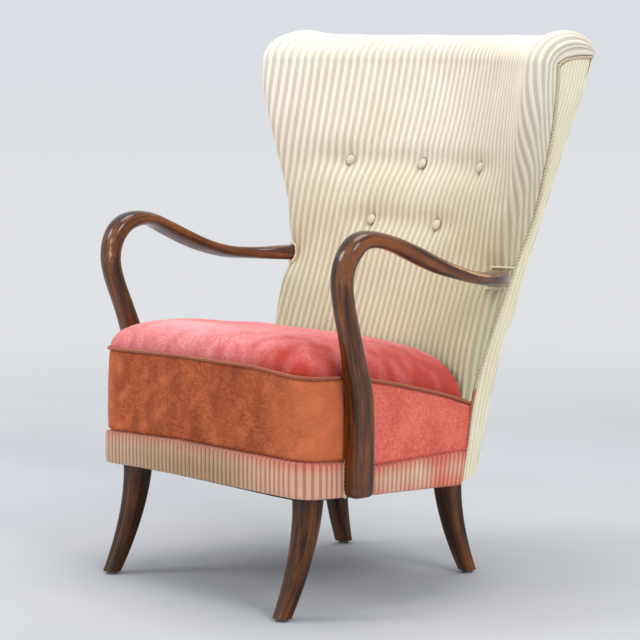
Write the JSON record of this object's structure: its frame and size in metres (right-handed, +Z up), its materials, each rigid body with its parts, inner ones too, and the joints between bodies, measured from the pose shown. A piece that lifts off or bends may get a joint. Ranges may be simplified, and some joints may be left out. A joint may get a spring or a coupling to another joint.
{
  "type": "armchair",
  "caption": "Upholstered fireside armchair with bentwood arms, sabre legs, a winged buttoned back and a sprung, crowned seat with piped edges.",
  "frame": {"origin": "on the floor, below the middle of the chair's bounding box", "axes": "+Z up; the chair faces -Y, so +X is on the right of someone who looks at its front"},
  "size_m": [0.7568, 0.6999, 0.9858],
  "materials": {
    "leg_wood": "gloss",
    "arm_wood": "gloss",
    "frame_wood": "matte",
    "steel": "satin",
    "spring_steel": "satin",
    "cream_cord": "matte",
    "rust_cord": "matte",
    "coral_velvet": "matte",
    "rust_velvet": "matte",
    "coral_side_velvet": "matte",
    "band_rib_cloth": "matte",
    "cream_rib_cloth": "matte",
    "button_cloth": "matte",
    "side_rib_cloth": "matte",
    "jute_webbing": "matte",
    "hessian": "matte",
    "stuffing": "matte"
  },
  "bodies": {
    "root": {"leg_front_left": "leg_wood", "leg_front_right": "leg_wood", "leg_rear_left": "leg_wood", "leg_rear_right": "leg_wood", "foot_glides": "steel", "arm_left": "arm_wood", "arm_right": "arm_wood", "arm_collars": "cream_cord", "arm_screws": "steel", "front_rail": "frame_wood", "rear_rail": "frame_wood", "side_rail_left": "frame_wood", "side_rail_right": "frame_wood", "corner_blocks": "frame_wood", "leg_bolts": "steel", "seat_webbing_lengthwise": "jute_webbing", "seat_webbing_crosswise": "jute_webbing", "seat_springs": "spring_steel", "seat_hessian": "hessian", "seat_stuffing": "stuffing", "seat_cover": "coral_velvet", "seat_border_front": "rust_velvet", "seat_borders_side": "coral_side_velvet", "base_band_front": "band_rib_cloth", "base_bands_side": "band_rib_cloth", "seat_piping": "rust_cord", "dust_cover": "hessian", "dust_cover_tacks": "steel", "back_post_left": "frame_wood", "back_post_right": "frame_wood", "back_top_rail": "frame_wood", "back_arm_rail": "frame_wood", "back_bottom_rail": "frame_wood", "wing_board_left": "frame_wood", "wing_board_right": "frame_wood", "back_webbing": "jute_webbing", "back_hessian": "hessian", "back_stuffing": "stuffing", "wing_roll_left": "stuffing", "wing_roll_right": "stuffing", "back_cover": "cream_rib_cloth", "back_buttons": "button_cloth", "wing_piping_left": "cream_cord", "wing_piping_right": "cream_cord", "side_panel_left": "side_rib_cloth", "side_panel_right": "side_rib_cloth", "outside_back": "cream_rib_cloth"}
  },
  "joints": []
}
